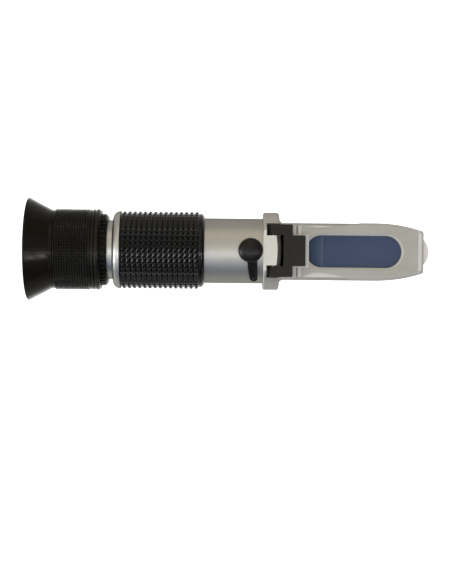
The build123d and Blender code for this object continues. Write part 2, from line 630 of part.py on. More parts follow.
def scallops():
    """Narrows the plate at its hinge ears, then waists it on both sides beside the prism."""
    reach = HEAD_R + 1.7
    cuts = Part()
    for side in (1, -1):
        curve = [(x, half * side, 0) for x, half in [(EAR_END_X, EAR_HALF), *SCALLOP]]
        last_x = curve[-1][0]
        rest = Polyline(
            curve[-1], (last_x, reach * side, 0), (PLATE_X - 1, reach * side, 0),
            (PLATE_X - 1, EAR_HALF * side, 0), curve[0])
        cuts += slab(make_face([Spline(*curve), *rest.edges()]), 0, 15)
    return cuts


def daylight_plate():
    """Clear moulded plate over the prism, with sloping sides, a sunk window and a thumb tab."""
    base = plan(PLATE_X, PLATE_END_X, HEAD_R, PLATE_END_HALF, 1.2)
    draft = 0.3  # run of the sloping side for each millimetre of its height
    high = PLATE_TOP_Z - PLATE_SKIRT_Z
    top = plan(PLATE_X, PLATE_END_X - 0.9, HEAD_R - high * draft, PLATE_END_HALF - 0.7, 1.0)
    body = loft([Pos(0, 0, PLATE_SKIRT_Z) * base, Pos(0, 0, PLATE_TOP_Z) * top])
    body -= scallops()
    # hollow over the prism, open at the hinge end
    body -= block((PLATE_X - 1, HOLLOW_END_X), (-HOLLOW_HALF, HOLLOW_HALF), (0, PLATE_UNDER_Z))
    window = outline([
        (WINDOW_X, -WINDOW_HALF, WINDOW_CORNER), (WINDOW_END_X, -WINDOW_HALF, WINDOW_CORNER),
        (WINDOW_END_X, WINDOW_HALF, WINDOW_CORNER), (WINDOW_X, WINDOW_HALF, WINDOW_CORNER),
    ], in_xy)
    window = extrude(window, WINDOW_DEPTH + 0.01, taper=-WINDOW_SLOPE_DEG)
    window = Pos(0, 0, PLATE_TOP_Z - WINDOW_DEPTH) * window
    # the pad under the tongue stays whole, so the window starts at the frame's outer face
    body -= window - block((100, TONGUE_END_X + 1.4), (-8, 8), (0, 12))
    body += plate_frame() + plate_ribs() + nose_lip() + thumb_tab()
    return body


def plate_frame():
    """Raised frame on three sides of the bracket's tongue."""
    rise, wall, front = 1.5, 0.5, 1.4
    height = (PLATE_TOP_Z - 0.2, PLATE_TOP_Z + rise)
    gap = 0.03
    front_bar = block(
        (TONGUE_END_X + gap, TONGUE_END_X + front), (-TONGUE_HALF - wall, TONGUE_HALF + wall), height)
    sides = both_sides(
        (BAR_END_X + gap, TONGUE_END_X + front), (TONGUE_HALF + gap, TONGUE_HALF + wall), height)
    return front_bar + sides


def plate_ribs():
    """Two low ribs across each hinge ear, with a groove between them."""
    height = (PLATE_TOP_Z - 0.2, PLATE_TOP_Z + 0.7)
    span = (TONGUE_HALF + 0.4, EAR_HALF - 0.4)
    return both_sides((BAR_END_X + 0.15, 105.6), span, height) + both_sides((106.2, 107.6), span, height)


def nose_lip():
    """Low rib across the nose of the plate."""
    return block((LIP_X, LIP_X + 1.4), (-7.2, 7.2), (PLATE_TOP_Z - 0.2, PLATE_TOP_Z + LIP_RISE))


def thumb_tab():
    """Thin half-round tab at the nose, for lifting the plate."""
    tab_r = (TAB_CHORD_HALF ** 2 + TAB_REACH ** 2) / (2 * TAB_REACH)
    disc = post(PLATE_END_X + TAB_REACH - tab_r, 0, PLATE_SKIRT_Z, PLATE_SKIRT_Z + 1.4, tab_r)
    return disc & block((PLATE_END_X - 1.0, PLATE_END_X + 5), (-8, 8), (0, 12))


# ---- Pieces -------------------------------------------------------------------------------------

PIECES = [
    eyecup, eyepiece_cap, focus_body, knurled_sleeve,
    eyepiece_tube, eye_lens, lens_spacer, field_lens, lens_retainer,
    guide_key, rear_neck, rear_collar, barrel, grip_sleeve,
    reticle_cell, reticle, reticle_retainer, light_baffle,
    objective_carrier, calibration_bush, calibration_screw, objective_cell, objective_lens,
    objective_retainer, bimetal_strip, bimetal_screw, return_spring, calibration_plug,
    prism_head, main_prism, prism_gasket, head_seal, hinge_pin,
    hinge_bracket, daylight_plate,
]

os.makedirs("parts", exist_ok=True)
for piece in PIECES:
    export_step(piece(), f"parts/{piece.__name__}.step")
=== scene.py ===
import math

import bmesh
import bpy
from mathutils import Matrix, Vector


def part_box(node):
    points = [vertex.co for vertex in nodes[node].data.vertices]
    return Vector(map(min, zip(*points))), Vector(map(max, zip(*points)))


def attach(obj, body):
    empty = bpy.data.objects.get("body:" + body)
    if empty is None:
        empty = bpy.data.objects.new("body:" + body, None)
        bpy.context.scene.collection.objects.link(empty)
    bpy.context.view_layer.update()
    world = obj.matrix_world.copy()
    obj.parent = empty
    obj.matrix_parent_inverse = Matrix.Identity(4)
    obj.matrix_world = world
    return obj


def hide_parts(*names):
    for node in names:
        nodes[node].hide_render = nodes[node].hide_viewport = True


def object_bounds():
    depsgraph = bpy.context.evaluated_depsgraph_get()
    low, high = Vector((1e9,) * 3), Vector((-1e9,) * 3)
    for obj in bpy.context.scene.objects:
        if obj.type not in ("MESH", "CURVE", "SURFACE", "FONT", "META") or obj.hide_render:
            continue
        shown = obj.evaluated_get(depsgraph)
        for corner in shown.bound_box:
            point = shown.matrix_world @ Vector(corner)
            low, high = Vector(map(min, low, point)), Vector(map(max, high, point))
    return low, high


# Looks of a handheld refractometer, built round its CAD frame. The optical axis is +X from the eyecup's
# rim to the nose, and +Z is up, out of the prism's face. Pieces and materials are worked out in
# millimetres, and the stage in metres, as Blender is.

MM = 0.001
EYE_X, EYE_Y = 0.0784, -0.0163   # the camera stands over this point, in metres
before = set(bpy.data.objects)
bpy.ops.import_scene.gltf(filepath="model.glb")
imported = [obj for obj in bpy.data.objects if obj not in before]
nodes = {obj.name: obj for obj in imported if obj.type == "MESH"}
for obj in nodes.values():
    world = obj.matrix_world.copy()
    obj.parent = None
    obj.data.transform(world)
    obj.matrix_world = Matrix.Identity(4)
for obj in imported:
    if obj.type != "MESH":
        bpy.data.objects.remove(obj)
cad_low, cad_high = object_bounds()

# Lines that the CAD draws inside a node, in millimetres: the node's box doesn't give them.
PRISM_BEVEL_X = 115.9     # the prism's bevelled end face meets its top face
PLATE_TOP_Z = 9.0         # the daylight plate's face, below its frame, ribs and lip
WINDOW_HALF = 6.3         # half-width of the plate's window, and of the gap in front of the knuckle

# Fits of the pieces made here, in millimetres.
KNURL_INSET = 0.1         # the knurl's tips lie this much inside the sleeve's front edge
CLEAR = 0.02              # keeps a piece made here off the faces of its CAD neighbours


def node_box(name):
    """A CAD node's lowest and highest corners, in millimetres."""
    low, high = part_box(name)
    return low / MM, high / MM


# ---- Mesh helpers -------------------------------------------------------------------------------

def add_object(name, mesh, smooth=True):
    piece = bpy.data.objects.new(name, mesh)
    bpy.context.scene.collection.objects.link(piece)
    for face in mesh.polygons:
        face.use_smooth = smooth
    return piece


def mesh_from(name, points_mm, faces):
    mesh = bpy.data.meshes.new(name)
    mesh.from_pydata([tuple(c * MM for c in p) for p in points_mm], [], faces)
    mesh.validate()
    return mesh


def apply_modifiers(piece):
    """Replaces the piece's mesh by what its modifiers make of it."""
    bpy.context.view_layer.update()
    shown = piece.evaluated_get(bpy.context.evaluated_depsgraph_get())
    mesh = bpy.data.meshes.new_from_object(shown)
    piece.modifiers.clear()
    piece.data = mesh


def smooth_by_angle(piece, degrees):
    """Smooth shading, with creases where faces meet at more than this angle."""
    mesh = piece.data
    limit = math.radians(degrees)
    edit = bmesh.new()
    edit.from_mesh(mesh)
    for edge in edit.edges:
        edge.smooth = len(edge.link_faces) == 2 and edge.calc_face_angle(0) < limit
    for face in edit.faces:
        face.smooth = True
    edit.to_mesh(mesh)
    edit.free()


def round_edges(piece, width_mm, segments, bevel_above_deg, crease_above_deg):
    """Rounds the piece's sharp edges and shades it smooth, with creases where it is still sharp."""
    bevel = piece.modifiers.new("soften", "BEVEL")
    bevel.width = width_mm * MM
    bevel.segments = segments
    bevel.limit_method = "ANGLE"
    bevel.angle_limit = math.radians(bevel_above_deg)
    apply_modifiers(piece)
    smooth_by_angle(piece, crease_above_deg)


def studded_ring(name, rows, columns, rise):
    """A closed ring about the optical axis whose raised studs are flat-topped pyramids.

    rows is a closed loop of (x, radius, raised), and columns of (angle, raised), both in order. A point
    stands out by rise where its row and its column are both raised.
    """
    points = []
    for x, r, high_row in rows:
        for angle, high_column in columns:
            reach = r + (rise if high_row and high_column else 0)
            points.append((x, reach * math.cos(angle), reach * math.sin(angle)))
    across = len(columns)
    faces = []
    for i in range(len(rows)):
        for j in range(across):
            i2, j2 = (i + 1) % len(rows), (j + 1) % across
            corners = [(i, j), (i2, j), (i2, j2), (i, j2)]
            loop = [a * across + b for a, b in corners]
            raised = [rows[a][2] and columns[b][1] for a, b in corners]
            if sum(raised) == 1:
                # the pyramid's slanting edge runs through its raised corner
                k = raised.index(True)
                faces.append((loop[k], loop[(k + 1) % 4], loop[(k + 2) % 4]))
                faces.append((loop[k], loop[(k + 2) % 4], loop[(k + 3) % 4]))
            else:
                faces.append(tuple(loop))
    return mesh_from(name, points, faces)


def stud_lines(start, pitch, count, base_share, top_share):
    """(place, raised) lines of a row of studs: base, top, top, base for each stud.

    The shares of the pitch are measured from the stud's middle to the edge of its base and of its top.
    """
    lines = []
    for k in range(count):
        middle = start + (k + 0.5) * pitch
        for share, raised in ((-base_share, False), (-top_share, True),
                              (top_share, True), (base_share, False)):
            lines.append((middle + share * pitch, raised))
    return lines


def arc_points(centre, radius, start_deg, end_deg, steps):
    """Points (x, radius about the axis) on an arc of a ring's outline."""
    points = []
    for k in range(steps + 1):
        angle = math.radians(start_deg + (end_deg - start_deg) * k / steps)
        points.append((centre[0] + radius * math.cos(angle), centre[1] + radius * math.sin(angle)))
    return points


# ---- Materials ----------------------------------------------------------------------------------

def math_node(tree, operation, *values, clamp=False):
    """The output of a Math node, whose inputs are numbers or sockets."""
    node = tree.nodes.new("ShaderNodeMath")
    node.operation = operation
    node.use_clamp = clamp
    for socket, value in zip(node.inputs, values):
        if isinstance(value, (int, float)):
            socket.default_value = value
        else:
            tree.links.new(value, socket)
    return node.outputs[0]


class Shader:
    """A Principled material under construction. Lengths are in millimetres on the object."""

    def __init__(self, name, color, roughness, metallic=0.0):
        self.material = bpy.data.materials.new(name)
        self.material.use_nodes = True
        self.tree = self.material.node_tree
        self.bsdf = self.tree.nodes["Principled BSDF"]
        self.set("Base Color", (*color, 1.0))
        self.set("Roughness", roughness)
        self.set("Metallic", metallic)
        self.place = self.tree.nodes.new("ShaderNodeTexCoord").outputs["Object"]
        self.bump_out = None

    def set(self, socket, value):
        self.bsdf.inputs[socket].default_value = value

    def link(self, start, end):
        self.tree.links.new(start, end)

    def drive(self, socket, value):
        """Links value to one of the Principled shader's sockets."""
        self.link(value, self.bsdf.inputs[socket])

    def math(self, operation, *values, clamp=False):
        return math_node(self.tree, operation, *values, clamp=clamp)

    def length(self, a, b):
        """The length of the vector (a, b)."""
        squares = self.math("ADD", self.math("MULTIPLY", a, a), self.math("MULTIPLY", b, b))
        return self.math("SQRT", squares)

    def scaled(self, stretch=(1, 1, 1)):
        """Object coordinates multiplied by stretch."""
        node = self.tree.nodes.new("ShaderNodeMapping")
        node.inputs["Scale"].default_value = stretch
        self.link(self.place, node.inputs["Vector"])
        return node.outputs["Vector"]

    def noise(self, size_mm, detail=3.0, stretch=(1, 1, 1), rough=0.5):
        """Noise from 0 to 1, whose blobs are about size_mm across."""
        node = self.tree.nodes.new("ShaderNodeTexNoise")
        node.inputs["Scale"].default_value = 1 / (size_mm * MM)
        node.inputs["Detail"].default_value = detail
        node.inputs["Roughness"].default_value = rough
        self.link(self.scaled(stretch), node.inputs["Vector"])
        return node.outputs["Fac"]

    def spread(self, value, low, high, from_low=0.3, from_high=0.7):
        """Maps value from one range to another, clamped."""
        node = self.tree.nodes.new("ShaderNodeMapRange")
        self.link(value, node.inputs["Value"])
        node.inputs["From Min"].default_value = from_low
        node.inputs["From Max"].default_value = from_high
        node.inputs["To Min"].default_value = low
        node.inputs["To Max"].default_value = high
        return node.outputs["Result"]

    def crossing(self, place, edge_mm, soft_mm, before=0, after=1):
        """Turns from before to after where place crosses the edge, over soft_mm on either side."""
        return self.spread(place, before, after, (edge_mm - soft_mm) * MM, (edge_mm + soft_mm) * MM)

    def between(self, place, low_mm, high_mm, soft_mm=0.06):
        """1 where place lies between low and high, and 0 elsewhere."""
        rising = self.crossing(place, low_mm, soft_mm)
        return self.math("MULTIPLY", rising, self.crossing(place, high_mm, soft_mm, 1, 0))

    def blend(self, factor, first, second):
        """Mixes two colours, each a socket or a plain RGB."""
        node = self.tree.nodes.new("ShaderNodeMix")
        node.data_type = "RGBA"
        self.link(factor, node.inputs["Factor"])
        for socket, value in ((node.inputs[6], first), (node.inputs[7], second)):
            if isinstance(value, tuple):
                socket.default_value = (*value, 1.0)
            else:
                self.link(value, socket)
        return node.outputs[2]

    def coat(self, factor, color):
        """Lays a colour over the base colour that is linked already."""
        below = self.bsdf.inputs["Base Color"].links[0].from_socket
        self.drive("Base Color", self.blend(factor, below, color))

    def bump(self, height, depth_mm):
        """Adds relief of this depth to what was there before."""
        node = self.tree.nodes.new("ShaderNodeBump")
        node.inputs["Distance"].default_value = depth_mm * MM
        self.link(height, node.inputs["Height"])
        if self.bump_out is not None:
            self.link(self.bump_out, node.inputs["Normal"])
        self.bump_out = node.outputs["Normal"]
        self.drive("Normal", self.bump_out)

    def split(self):
        """The x, y and z of object coordinates."""
        node = self.tree.nodes.new("ShaderNodeSeparateXYZ")
        self.link(self.place, node.inputs[0])
        return node.outputs

    def edge_wear_and_sheen(self, radius_mm):
        """0 on flat faces, rising to 1 on sharp outer edges."""
        node = self.tree.nodes.new("ShaderNodeBevel")
        node.samples = 4
        node.inputs["Radius"].default_value = radius_mm * MM
        plain = self.tree.nodes.new("ShaderNodeNewGeometry").outputs["Normal"]
        dot = self.tree.nodes.new("ShaderNodeVectorMath")
        dot.operation = "DOT_PRODUCT"
        self.link(node.outputs["Normal"], dot.inputs[0])
        self.link(plain, dot.inputs[1])
        return self.spread(dot.outputs["Value"], 1, 0, 0.8, 0.995)


def rubber(name, color, roughness, grain_mm, grain_depth_mm, gloss=0.14):
    """Matt moulded rubber: fine skin grain, dusty cloudiness and faint rub marks."""
    s = Shader(name, color, roughness)
    s.set("Specular IOR Level", gloss)
    cloud = s.noise(7, 4)
    dust_and_shade = tuple(min(1.0, c * 1.6 + 0.004) for c in color)
    s.drive("Base Color", s.blend(s.spread(cloud, 0, 0.55), color, dust_and_shade))
    s.drive("Roughness", s.spread(s.noise(3, 5), roughness - 0.06, roughness + 0.1))
    s.bump(s.noise(grain_mm, 4, rough=0.6), grain_depth_mm)
    s.bump(s.noise(2.5, 2), grain_depth_mm * 1.5)
    return s


def knurl_rubber(name, top_r):
    """Black rubber, rubbed paler on the knurl's tips and dark in its grooves."""
    s = rubber(name, (0.0020, 0.0018, 0.0016), 0.26, grain_mm=0.2, grain_depth_mm=0.001, gloss=0.2)
    _, y, z = s.split()
    tips = s.crossing(s.length(y, z), top_r - 0.08, 0.06)
    rubbed = s.math("MULTIPLY", tips, s.spread(s.noise(1.6, 3), 0.55, 1.0))
    s.coat(rubbed, (0.021, 0.0175, 0.013))
    return s


def satin_metal(name, color, roughness, grain=(1, 1, 1), grain_mm=0.12, depth_mm=0.004):
    """Satin plating: fine grain stretched along the way it was brushed, soft blotches and tiny specks."""
    s = Shader(name, color, roughness, 1.0)
    s.set("Specular Tint", (0.2, 0.2, 0.2, 1.0))
    darker = tuple(c * 0.9 for c in color)
    blotch = s.noise(5, 5, rough=0.6)
    speck = s.noise(0.22, 2)
    shade = s.math("ADD", s.spread(blotch, 0, 0.6), s.spread(speck, 0, 0.4, 0.35, 0.65), clamp=True)
    s.drive("Base Color", s.blend(shade, color, darker))
    fine = s.noise(grain_mm, 3, grain)
    s.drive("Roughness", s.spread(fine, roughness - 0.05, roughness + 0.08))
    s.bump(fine, depth_mm)
    return s


def head_metal(name, gap_x, gap_half, gap_top_z):
    """Blasted plating, brushed faintly across, with painted shade in the gap between knuckle and bracket."""
    s = satin_metal(name, (0.80, 0.785, 0.75), 0.5, grain=(7, 0.6, 1), grain_mm=0.9, depth_mm=0.03)
    x, y, z = s.split()
    soft, depth = 0.1, 1.5
    along = s.between(x, *gap_x, soft)
    below = s.crossing(z, gap_top_z - depth / 2, depth / 2, 1, 0)
    inside = s.crossing(s.math("ABSOLUTE", y), gap_half, soft, 1, 0)
    # painted shade in the gap under the bracket's bar, which also roughens it
    painted_gap_shade = s.math("MULTIPLY", along, s.math("MULTIPLY", below, inside))
    s.coat(painted_gap_shade, (0.02, 0.018, 0.015))
    s.drive("Roughness", s.spread(painted_gap_shade, 0.5, 0.9, 0, 1))
    return s


def textured_black(name, color, roughness):
    """Finely textured satin black with paler specks and slightly worn edges."""
    s = Shader(name, color, roughness)
    s.set("Specular IOR Level", 0.25)
    fine = s.noise(0.35, 3, rough=0.65)
    pale = tuple(c * 1.9 + 0.01 for c in color)
    base = s.blend(s.spread(fine, 0, 0.6, 0.4, 0.72), color, pale)
    worn = s.math("MULTIPLY", s.edge_wear_and_sheen(0.12), s.spread(s.noise(0.8, 3), 0.1, 0.7))
    s.drive("Base Color", s.blend(worn, base, (0.16, 0.15, 0.14)))
    s.drive("Roughness", s.spread(s.noise(1.2, 3), roughness - 0.05, roughness + 0.12))
    s.bump(fine, 0.02)
    return s


def glossy_black(name, roughness, scuffs):
    """Shiny black moulded rubber with a faint ripple and fine scuffs, which roughen it by this much."""
    color, scuffed = (0.0035, 0.0031, 0.0027), (0.012, 0.011, 0.010)
    s = Shader(name, color, roughness)
    s.set("Specular IOR Level", 0.38)
    scuff = s.noise(0.9, 5, (1, 3, 1), 0.7)
    s.drive("Base Color", s.blend(s.spread(scuff, 0, 0.5, 0.55, 0.8), color, scuffed))
    s.drive("Roughness", s.spread(scuff, roughness - scuffs / 4, roughness + scuffs, 0.4, 0.8))
    s.bump(s.noise(2.4, 2), 0.006)
    return s


def blackened(name):
    """Chemically blackened metal inside the tubes."""
    s = Shader(name, (0.012, 0.012, 0.013), 0.6, 0.4)
    turned = s.noise(0.3, 2, (6, 1, 1))
    s.drive("Base Color", s.blend(turned, (0.010, 0.010, 0.011), (0.022, 0.021, 0.020)))
    s.bump(turned, 0.006)
    return s


def yellow_metal(name, color):
    """Turned brass with faint tool rings and tarnish."""
    s = Shader(name, color, 0.3, 1.0)
    tarnish = tuple(c * 0.55 for c in color)
    s.drive("Base Color", s.blend(s.spread(s.noise(1.4, 4), 0, 0.5), color, tarnish))
    s.bump(s.noise(0.15, 2), 0.004)
    return s


def clear_glass(name, tint):
    """Polished coated lens glass with a trace of dust."""
    s = Shader(name, tint, 0.02)
    s.set("Transmission Weight", 1.0)
    s.set("IOR", 1.52)
    s.drive("Roughness", s.spread(s.noise(0.5, 5), 0.01, 0.06, 0.5, 0.8))
    return s


def prism_glass(name, bevel_x):
    """Blue-looking prism: polished faces over a dark blue depth, with faint smears on top."""
    deep, pale = (0.032, 0.058, 0.152), (0.042, 0.070, 0.166)
    bevel_color, edge_highlight_color = (0.052, 0.098, 0.205), (0.19, 0.24, 0.33)
    s = Shader(name, deep, 0.08)
    x = s.split()[0]
    body = s.blend(s.spread(s.noise(16, 3), 0, 0.7), deep, pale)
    # the bevelled end face is paler, and a painted highlight lies along its front edge
    bevel = s.crossing(x, bevel_x, 0.1, 1, 0)
    from_edge = s.math("ABSOLUTE", s.math("SUBTRACT", x, bevel_x * MM))
    edge = s.spread(from_edge, 0.55, 0, 0.05 * MM, 0.28 * MM)
    body = s.blend(bevel, body, bevel_color)
    s.drive("Base Color", s.blend(edge, body, edge_highlight_color))
    s.set("IOR", 1.42)
    s.drive("Roughness", s.spread(s.noise(1.5, 5, (0.4, 1, 1)), 0.05, 0.16, 0.4, 0.75))
    return s


def frosted_plate(name, window_x, frame_x, groove_x, lip_x, nose_x):
    """Frosted clear plastic with a polished clear window, whose ends are half round.

    window_x and groove_x are the lowest and highest x of the window and of the groove beside the
    bracket, which holds painted shade. All of the plate behind frame_x is frosted, a painted shade line
    lies behind the lip at lip_x, and from nose_x on the nose carries painted light, as if lit through.
    """
    s = Shader(name, (0.62, 0.61, 0.575), 0.42)
    x, y, z = s.split()
    middle = (window_x[0] + window_x[1]) / 2
    straight = (window_x[1] - window_x[0]) / 2 - WINDOW_HALF
    # distance from the window's long centre line
    from_middle = s.math("ABSOLUTE", s.math("SUBTRACT", x, middle * MM))
    along = s.math("MAXIMUM", s.math("SUBTRACT", from_middle, straight * MM), 0.0)
    reach = s.length(along, y)
    behind = s.crossing(x, frame_x, 0.04, 1, 0)
    outside = s.crossing(reach, WINDOW_HALF, 0.05)
    frost = s.math("MAXIMUM", outside, behind)
    cloud = s.noise(9, 4, (0.35, 1, 1))
    skin = s.blend(s.spread(cloud, 0, 1), (0.58, 0.565, 0.52), (0.69, 0.675, 0.64))
    # painted highlight on the window's sloping rim, with a painted shade line round it
    rim_highlight = s.between(reach, WINDOW_HALF, WINDOW_HALF + 0.72)
    skin = s.blend(s.math("MULTIPLY", rim_highlight, 0.75), skin, (0.86, 0.85, 0.76))
    rim_shade_line = s.between(reach, WINDOW_HALF + 0.8, WINDOW_HALF + 1.0)
    skin = s.blend(s.math("MULTIPLY", rim_shade_line, 0.35), skin, (0.34, 0.34, 0.31))
    # painted highlight makes the raised frame, ribs and lip paler, and painted shade darkens the grooves
    # beside them
    # painted highlight on the raised parts
    raised = s.crossing(z, PLATE_TOP_Z + 0.3, 0.15, 0, 0.85)
    skin = s.blend(raised, skin, (0.88, 0.85, 0.85))
    # painted shade in the groove beside the bracket
    beside = s.crossing(s.math("ABSOLUTE", y), WINDOW_HALF + 0.3, 0.1, 0, 0.8)
    skin = s.blend(s.math("MULTIPLY", s.between(x, *groove_x), beside), skin, (0.16, 0.14, 0.11))
    # painted shade in a line behind the lip
    dust_and_shade = s.between(x, lip_x, lip_x + 0.4)
    skin = s.blend(s.math("MULTIPLY", dust_and_shade, 0.8), skin, (0.24, 0.22, 0.20))
    # painted light: the thin nose is painted bright, as if light shone through it
    skin = s.blend(s.crossing(x, nose_x, 0.1, 0, 0.9), skin, (1.0, 0.97, 0.93))
    # painted highlight along the plate's sharp edges
    edges = s.math("MULTIPLY", s.edge_wear_and_sheen(0.3), 0.75)
    skin = s.blend(edges, skin, (0.90, 0.88, 0.83))
    s.drive("Base Color", s.blend(frost, (0.30, 0.36, 0.45), skin))
    s.drive("Roughness", s.spread(frost, 0.05, 0.4, 0, 1))
    s.drive("Alpha", s.spread(frost, 0.05, 0.76, 0, 1))
    s.bump(s.math("MULTIPLY", s.noise(0.18, 3), frost), 0.01)
    s.bump(s.noise(14, 1, (0.4, 1, 1)), 0.05)
    return s


# ---- Pieces made here ---------------------------------------------------------------------------

def rubber_grip():
    """Grip with rows of glossy pyramids and a smooth rounded front end."""
    low, high = node_box("grip_sleeve")
    inner_r = node_box("barrel")[1].y + CLEAR
    rear_x, front_x = low.x + CLEAR, high.x - CLEAR
    rise = 0.72
    base_r = high.y - 2 * CLEAR - rise
    row_count, stud_count, row_pitch = 15, 42, 2.03
    base_share, top_share = 0.49, 0.13
    studs_x = low.x + 0.5
    studs_end_x = studs_x + row_pitch * row_count
    rows = [(rear_x, inner_r, False), (rear_x, base_r - 0.3, False), (low.x + 0.2, base_r, False)]
    studs = stud_lines(studs_x, row_pitch, row_count, base_share, top_share)
    rows += [(x, base_r, raised) for x, raised in studs]
    # a smooth shoulder, a little above the studs' feet, that rounds over to the barrel
    shoulder_x, shoulder_r = studs_end_x + 0.35, 1.84
    shoulder = [(studs_end_x + 0.1, base_r), (shoulder_x, base_r + 0.12)]
    shoulder += arc_points((shoulder_x, base_r - 1.7), shoulder_r, 80, 12, 10)
    shoulder += [(front_x - 0.18, base_r - 1.42), (front_x, base_r - 1.5), (front_x, inner_r)]
    rows += [(x, r, False) for x, r in shoulder]
    columns = stud_lines(0, 2 * math.pi / stud_count, stud_count, base_share, top_share)
    piece = add_object("grip_pyramids", studded_ring("grip_pyramids", rows, columns, rise))
    round_edges(piece, 0.16, segments=3, bevel_above_deg=22, crease_above_deg=40)
    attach(piece, "barrel")
    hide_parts("grip_sleeve")
    return piece


def focus_knurl():
    """Knurled band of the focus ring, with its two grooves and the raised edge at its front end."""
    low, high = node_box("knurled_sleeve")
    length = high.x - low.x
    inner_r = node_box("focus_body")[1].y + CLEAR / 2
    edge_r = high.y
    top_r = edge_r - KNURL_INSET
    rise, corner_r = 0.34, 0.7
    base_r = top_r - rise
    row_count, stud_count, row_pitch = 13, 88, 0.99
    base_share, top_share = 0.46, 0.21
    rows = [(low.x, inner_r, False)]
    corner = arc_points((low.x + corner_r, top_r - corner_r), corner_r, 180, 90, 6)
    rows += [(x, r, False) for x, r in corner]
    rows.append((low.x + 0.82, base_r, False))
    studs = stud_lines(low.x + 0.85, row_pitch, row_count, base_share, top_share)
    rows += [(x, base_r, raised) for x, raised in studs]
    # the rest of the outline, measured from the sleeve's rear end
    rear_groove_r, front_groove_r = top_r - 0.5, top_r - 0.55
    outline = [
        (14.0, base_r), (14.12, top_r - 0.05), (14.3, top_r), (14.5, top_r - 0.05),
        (14.65, rear_groove_r), (14.95, rear_groove_r),
        (15.1, top_r - 0.08), (15.3, top_r), (15.7, top_r), (15.9, top_r - 0.08),
        (16.05, front_groove_r), (16.35, front_groove_r),
        (16.5, edge_r - 0.12), (16.7, edge_r), (17.1, edge_r), (17.5, edge_r - 0.12),
        (length - 0.15, edge_r - 0.62), (length, edge_r - 0.75), (length, inner_r),
    ]
    rows += [(low.x + x, r, False) for x, r in outline]
    columns = stud_lines(0, 2 * math.pi / stud_count, stud_count, base_share, top_share)
    piece = add_object("focus_knurl", studded_ring("focus_knurl", rows, columns, rise))
    round_edges(piece, 0.07, segments=2, bevel_above_deg=30, crease_above_deg=30)
    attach(piece, "focus_ring")
    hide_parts("knurled_sleeve")
    return piece


def add_turned_body(points, faces, centre_x, profile, around):
    """Adds a closed body of revolution about the plug's own axis; profile runs from its top to its foot."""
    first = len(points)
    points.append((centre_x, 0, profile[0][1]))
    for r, z in profile[1:-1]:
        for k in range(around):
            angle = 2 * math.pi * k / around
            points.append((centre_x + r * math.cos(angle), r * math.sin(angle), z))
    points.append((centre_x, 0, profile[-1][1]))
    last = len(points) - 1
    rings = len(profile) - 2
    for k in range(around):
        after = (k + 1) % around
        faces.append((first, first + 1 + k, first + 1 + after))
        for i in range(rings - 1):
            a, b = first + 1 + i * around, first + 1 + (i + 1) * around
            faces.append((a + k, b + k, b + after, a + after))
        a = first + 1 + (rings - 1) * around
        faces.append((a + k, last, a + after))


def clamp_share(value):
    return min(1.0, max(0.0, value))


def add_pull_tab(points, faces, centre_x, barrel_r):
    """Adds the plug's tab, which follows the barrel round towards -Y and narrows to a half-round end."""
    inner_r, thick, rim_rise = barrel_r + 0.42, 0.55, 0.85
    turn_low, turn_high = math.radians(12), math.radians(56.5)
    along, across = 30, 12
    first = len(points)
    for i in range(along + 1):
        share = i / along
        angle = turn_low + (turn_high - turn_low) * share
        # on its way down the tab leans towards the flange
        left = centre_x - 1.35 + 1.3 * share ** 1.3
        right = centre_x + 2.55 + 0.35 * share
        half, middle = (right - left) / 2, (left + right) / 2
        # the last part of the tab is its rounded end
        end = max(0.0, (share - 0.86) / 0.14)
        half *= math.sqrt(max(0.02, 1 - end ** 2.2))
        # the cross-section has raised rims and a hollow between them
        hollow = clamp_share((share - 0.16) / 0.3) * clamp_share((0.92 - share) / 0.1)
        loop = []
        for j in range(across + 1):
            v = -1 + 2 * j / across
            dip = (1 - abs(v) ** 3) * hollow
            loop.append((v, thick + rim_rise * (1 - dip) - 0.28 * abs(v) ** 8))
        loop += [(v, 0.12 * abs(v) ** 6) for v, _ in reversed(loop)]
        for v, height in loop:
            r = inner_r + height
            points.append((middle + v * half, -r * math.sin(angle), r * math.cos(angle)))
    size = 2 * (across + 1)
    for i in range(along):
        for j in range(size):
            a, b = first + i * size + j, first + i * size + (j + 1) % size
            faces.append((a, b, b + size, a + size))
    faces.append(tuple(range(first + size - 1, first - 1, -1)))
    faces.append(tuple(range(first + along * size, first + (along + 1) * size)))


